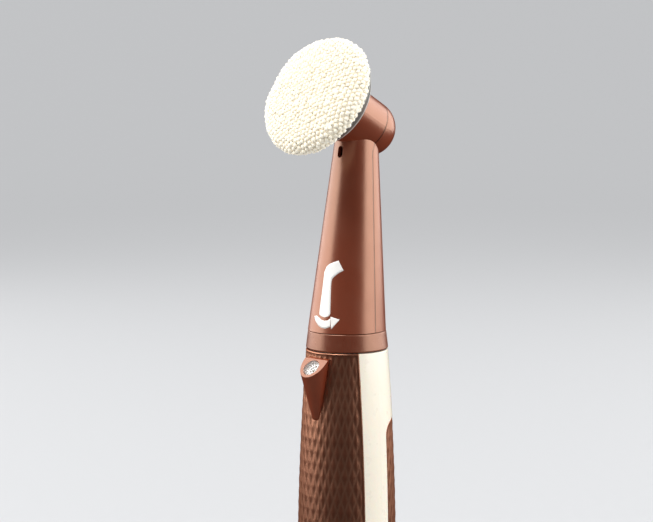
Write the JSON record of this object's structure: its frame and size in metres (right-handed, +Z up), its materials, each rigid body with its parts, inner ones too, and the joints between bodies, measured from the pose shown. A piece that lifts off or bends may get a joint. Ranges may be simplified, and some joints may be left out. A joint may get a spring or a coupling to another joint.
{
  "type": "facial cleansing brush",
  "caption": "Battery facial cleansing brush: a waisted handle, a twist-on neck with an angled head, and a domed round terry pad that spins.",
  "frame": {"origin": "centre of the charging well's mouth, in the flat foot of the handle", "axes": "+Z up the handle's axis, the pad's face towards -Y and upwards, +X to the right seen from the front"},
  "size_m": [0.0474, 0.0494, 0.2424],
  "materials": {
    "bronze_shell": "satin metallic bronze paint on moulded ABS",
    "bronze_grip": "bronze soft-touch moulding with fine raised diamonds",
    "bronze_ring": "satin bronze, slightly duller than the shells",
    "pearl_shell": "glossy pearl white",
    "pearl_base": "glossy pearl white",
    "silver_plate": "satin silver with a bright lip",
    "cream_terry": "looped cream terry over soft foam",
    "hook_tape": "hook tape",
    "clear_lens": "clear polished plastic",
    "indicator_lens": "frosted light guide",
    "lamp_chrome": "bright reflector",
    "led_body": "light-emitting diode",
    "bright_trim": "polished trim ring",
    "button_cap": "pearl button cap",
    "steel": "plain steel",
    "motor_case": "plated motor can",
    "battery_sleeve": "shrink sleeve",
    "nickel": "nickel strip",
    "circuit_board": "green solder mask",
    "chip_black": "black epoxy",
    "switch_body": "black moulding",
    "chassis_white": "natural ABS",
    "acetal_white": "white acetal",
    "acetal_black": "black acetal",
    "bronze_bush": "sintered bronze",
    "copper_coil": "enamelled copper wire",
    "black_rubber": "soft black rubber"
  },
  "bodies": {
    "handle": {"housing_left": "pearl_shell", "housing_right": "pearl_shell", "front_grip": "bronze_grip", "back_grip": "bronze_grip", "base_cap": "pearl_base", "base_gasket": "black_rubber", "base_screws": "steel", "coil_bobbin": "acetal_black", "charging_coil": "copper_coil", "chassis": "chassis_white", "battery": "battery_sleeve", "battery_tabs": "nickel", "main_board": "circuit_board", "board_components": "chip_black", "tact_switch": "switch_body", "indicator_led": "led_body", "indicator_lens": "indicator_lens", "button_bezel": "bright_trim", "motor_can": "motor_case", "motor_mount": "chassis_white", "motor_screws": "steel", "bayonet_spigot": "acetal_black", "collar_seal": "black_rubber", "lamp_housing": "bronze_shell", "lamp_lens": "clear_lens", "lamp_reflector": "lamp_chrome", "lamp_led": "led_body"},
    "button": {"power_button": "button_cap"},
    "motor_rotor": {"motor_shaft": "steel", "motor_coupling": "acetal_white"},
    "attachment": {"collar_ring": "bronze_ring", "collar_screws": "steel", "neck_front_shell": "bronze_shell", "neck_back_shell": "bronze_shell", "lower_bearing_plate": "acetal_white", "upper_bearing_plate": "acetal_white", "lower_shaft_bush": "bronze_bush", "upper_shaft_bush": "bronze_bush", "front_spindle_bush": "bronze_bush", "rear_spindle_bush": "bronze_bush", "spindle_seal": "black_rubber"},
    "shaft": {"shaft_coupling": "acetal_white", "drive_shaft": "steel", "bevel_pinion": "acetal_white"},
    "brush": {"spindle": "steel", "bevel_gear": "acetal_white", "spindle_clip": "steel", "brush_plate": "silver_plate", "hook_disc": "hook_tape", "cleansing_pad": "cream_terry"}
  },
  "joints": [
    {"name": "power_button_press", "type": "slide", "parent": "handle", "child": "button", "axis": [0, -1, 0], "range_m": [0, 0.0005], "stiffness_N_per_m": 3000},
    {"name": "attachment_twist", "type": "hinge", "parent": "handle", "child": "attachment", "pos_m": [0, 0, 0.12535], "axis": [0, 0, 1], "range_deg": [0, 30]},
    {"name": "pad_spin", "type": "hinge", "parent": "attachment", "child": "brush", "pos_m": [0, 0.0108, 0.2078], "axis": [0, -0.887, 0.4617], "continuous": true},
    {"name": "drive_shaft_spin", "type": "hinge", "parent": "attachment", "child": "shaft", "pos_m": [0, 0, 0.1283], "axis": [0, 0.0664, 0.9978], "continuous": true},
    {"name": "motor_spin", "type": "hinge", "parent": "handle", "child": "motor_rotor", "pos_m": [0, 0, 0.1118], "axis": [0, 0, 1], "continuous": true}
  ],
  "couplings": [
    {"joint": "drive_shaft_spin", "follows": "pad_spin", "ratio": -2},
    {"joint": "motor_spin", "follows": "pad_spin", "ratio": -2}
  ]
}
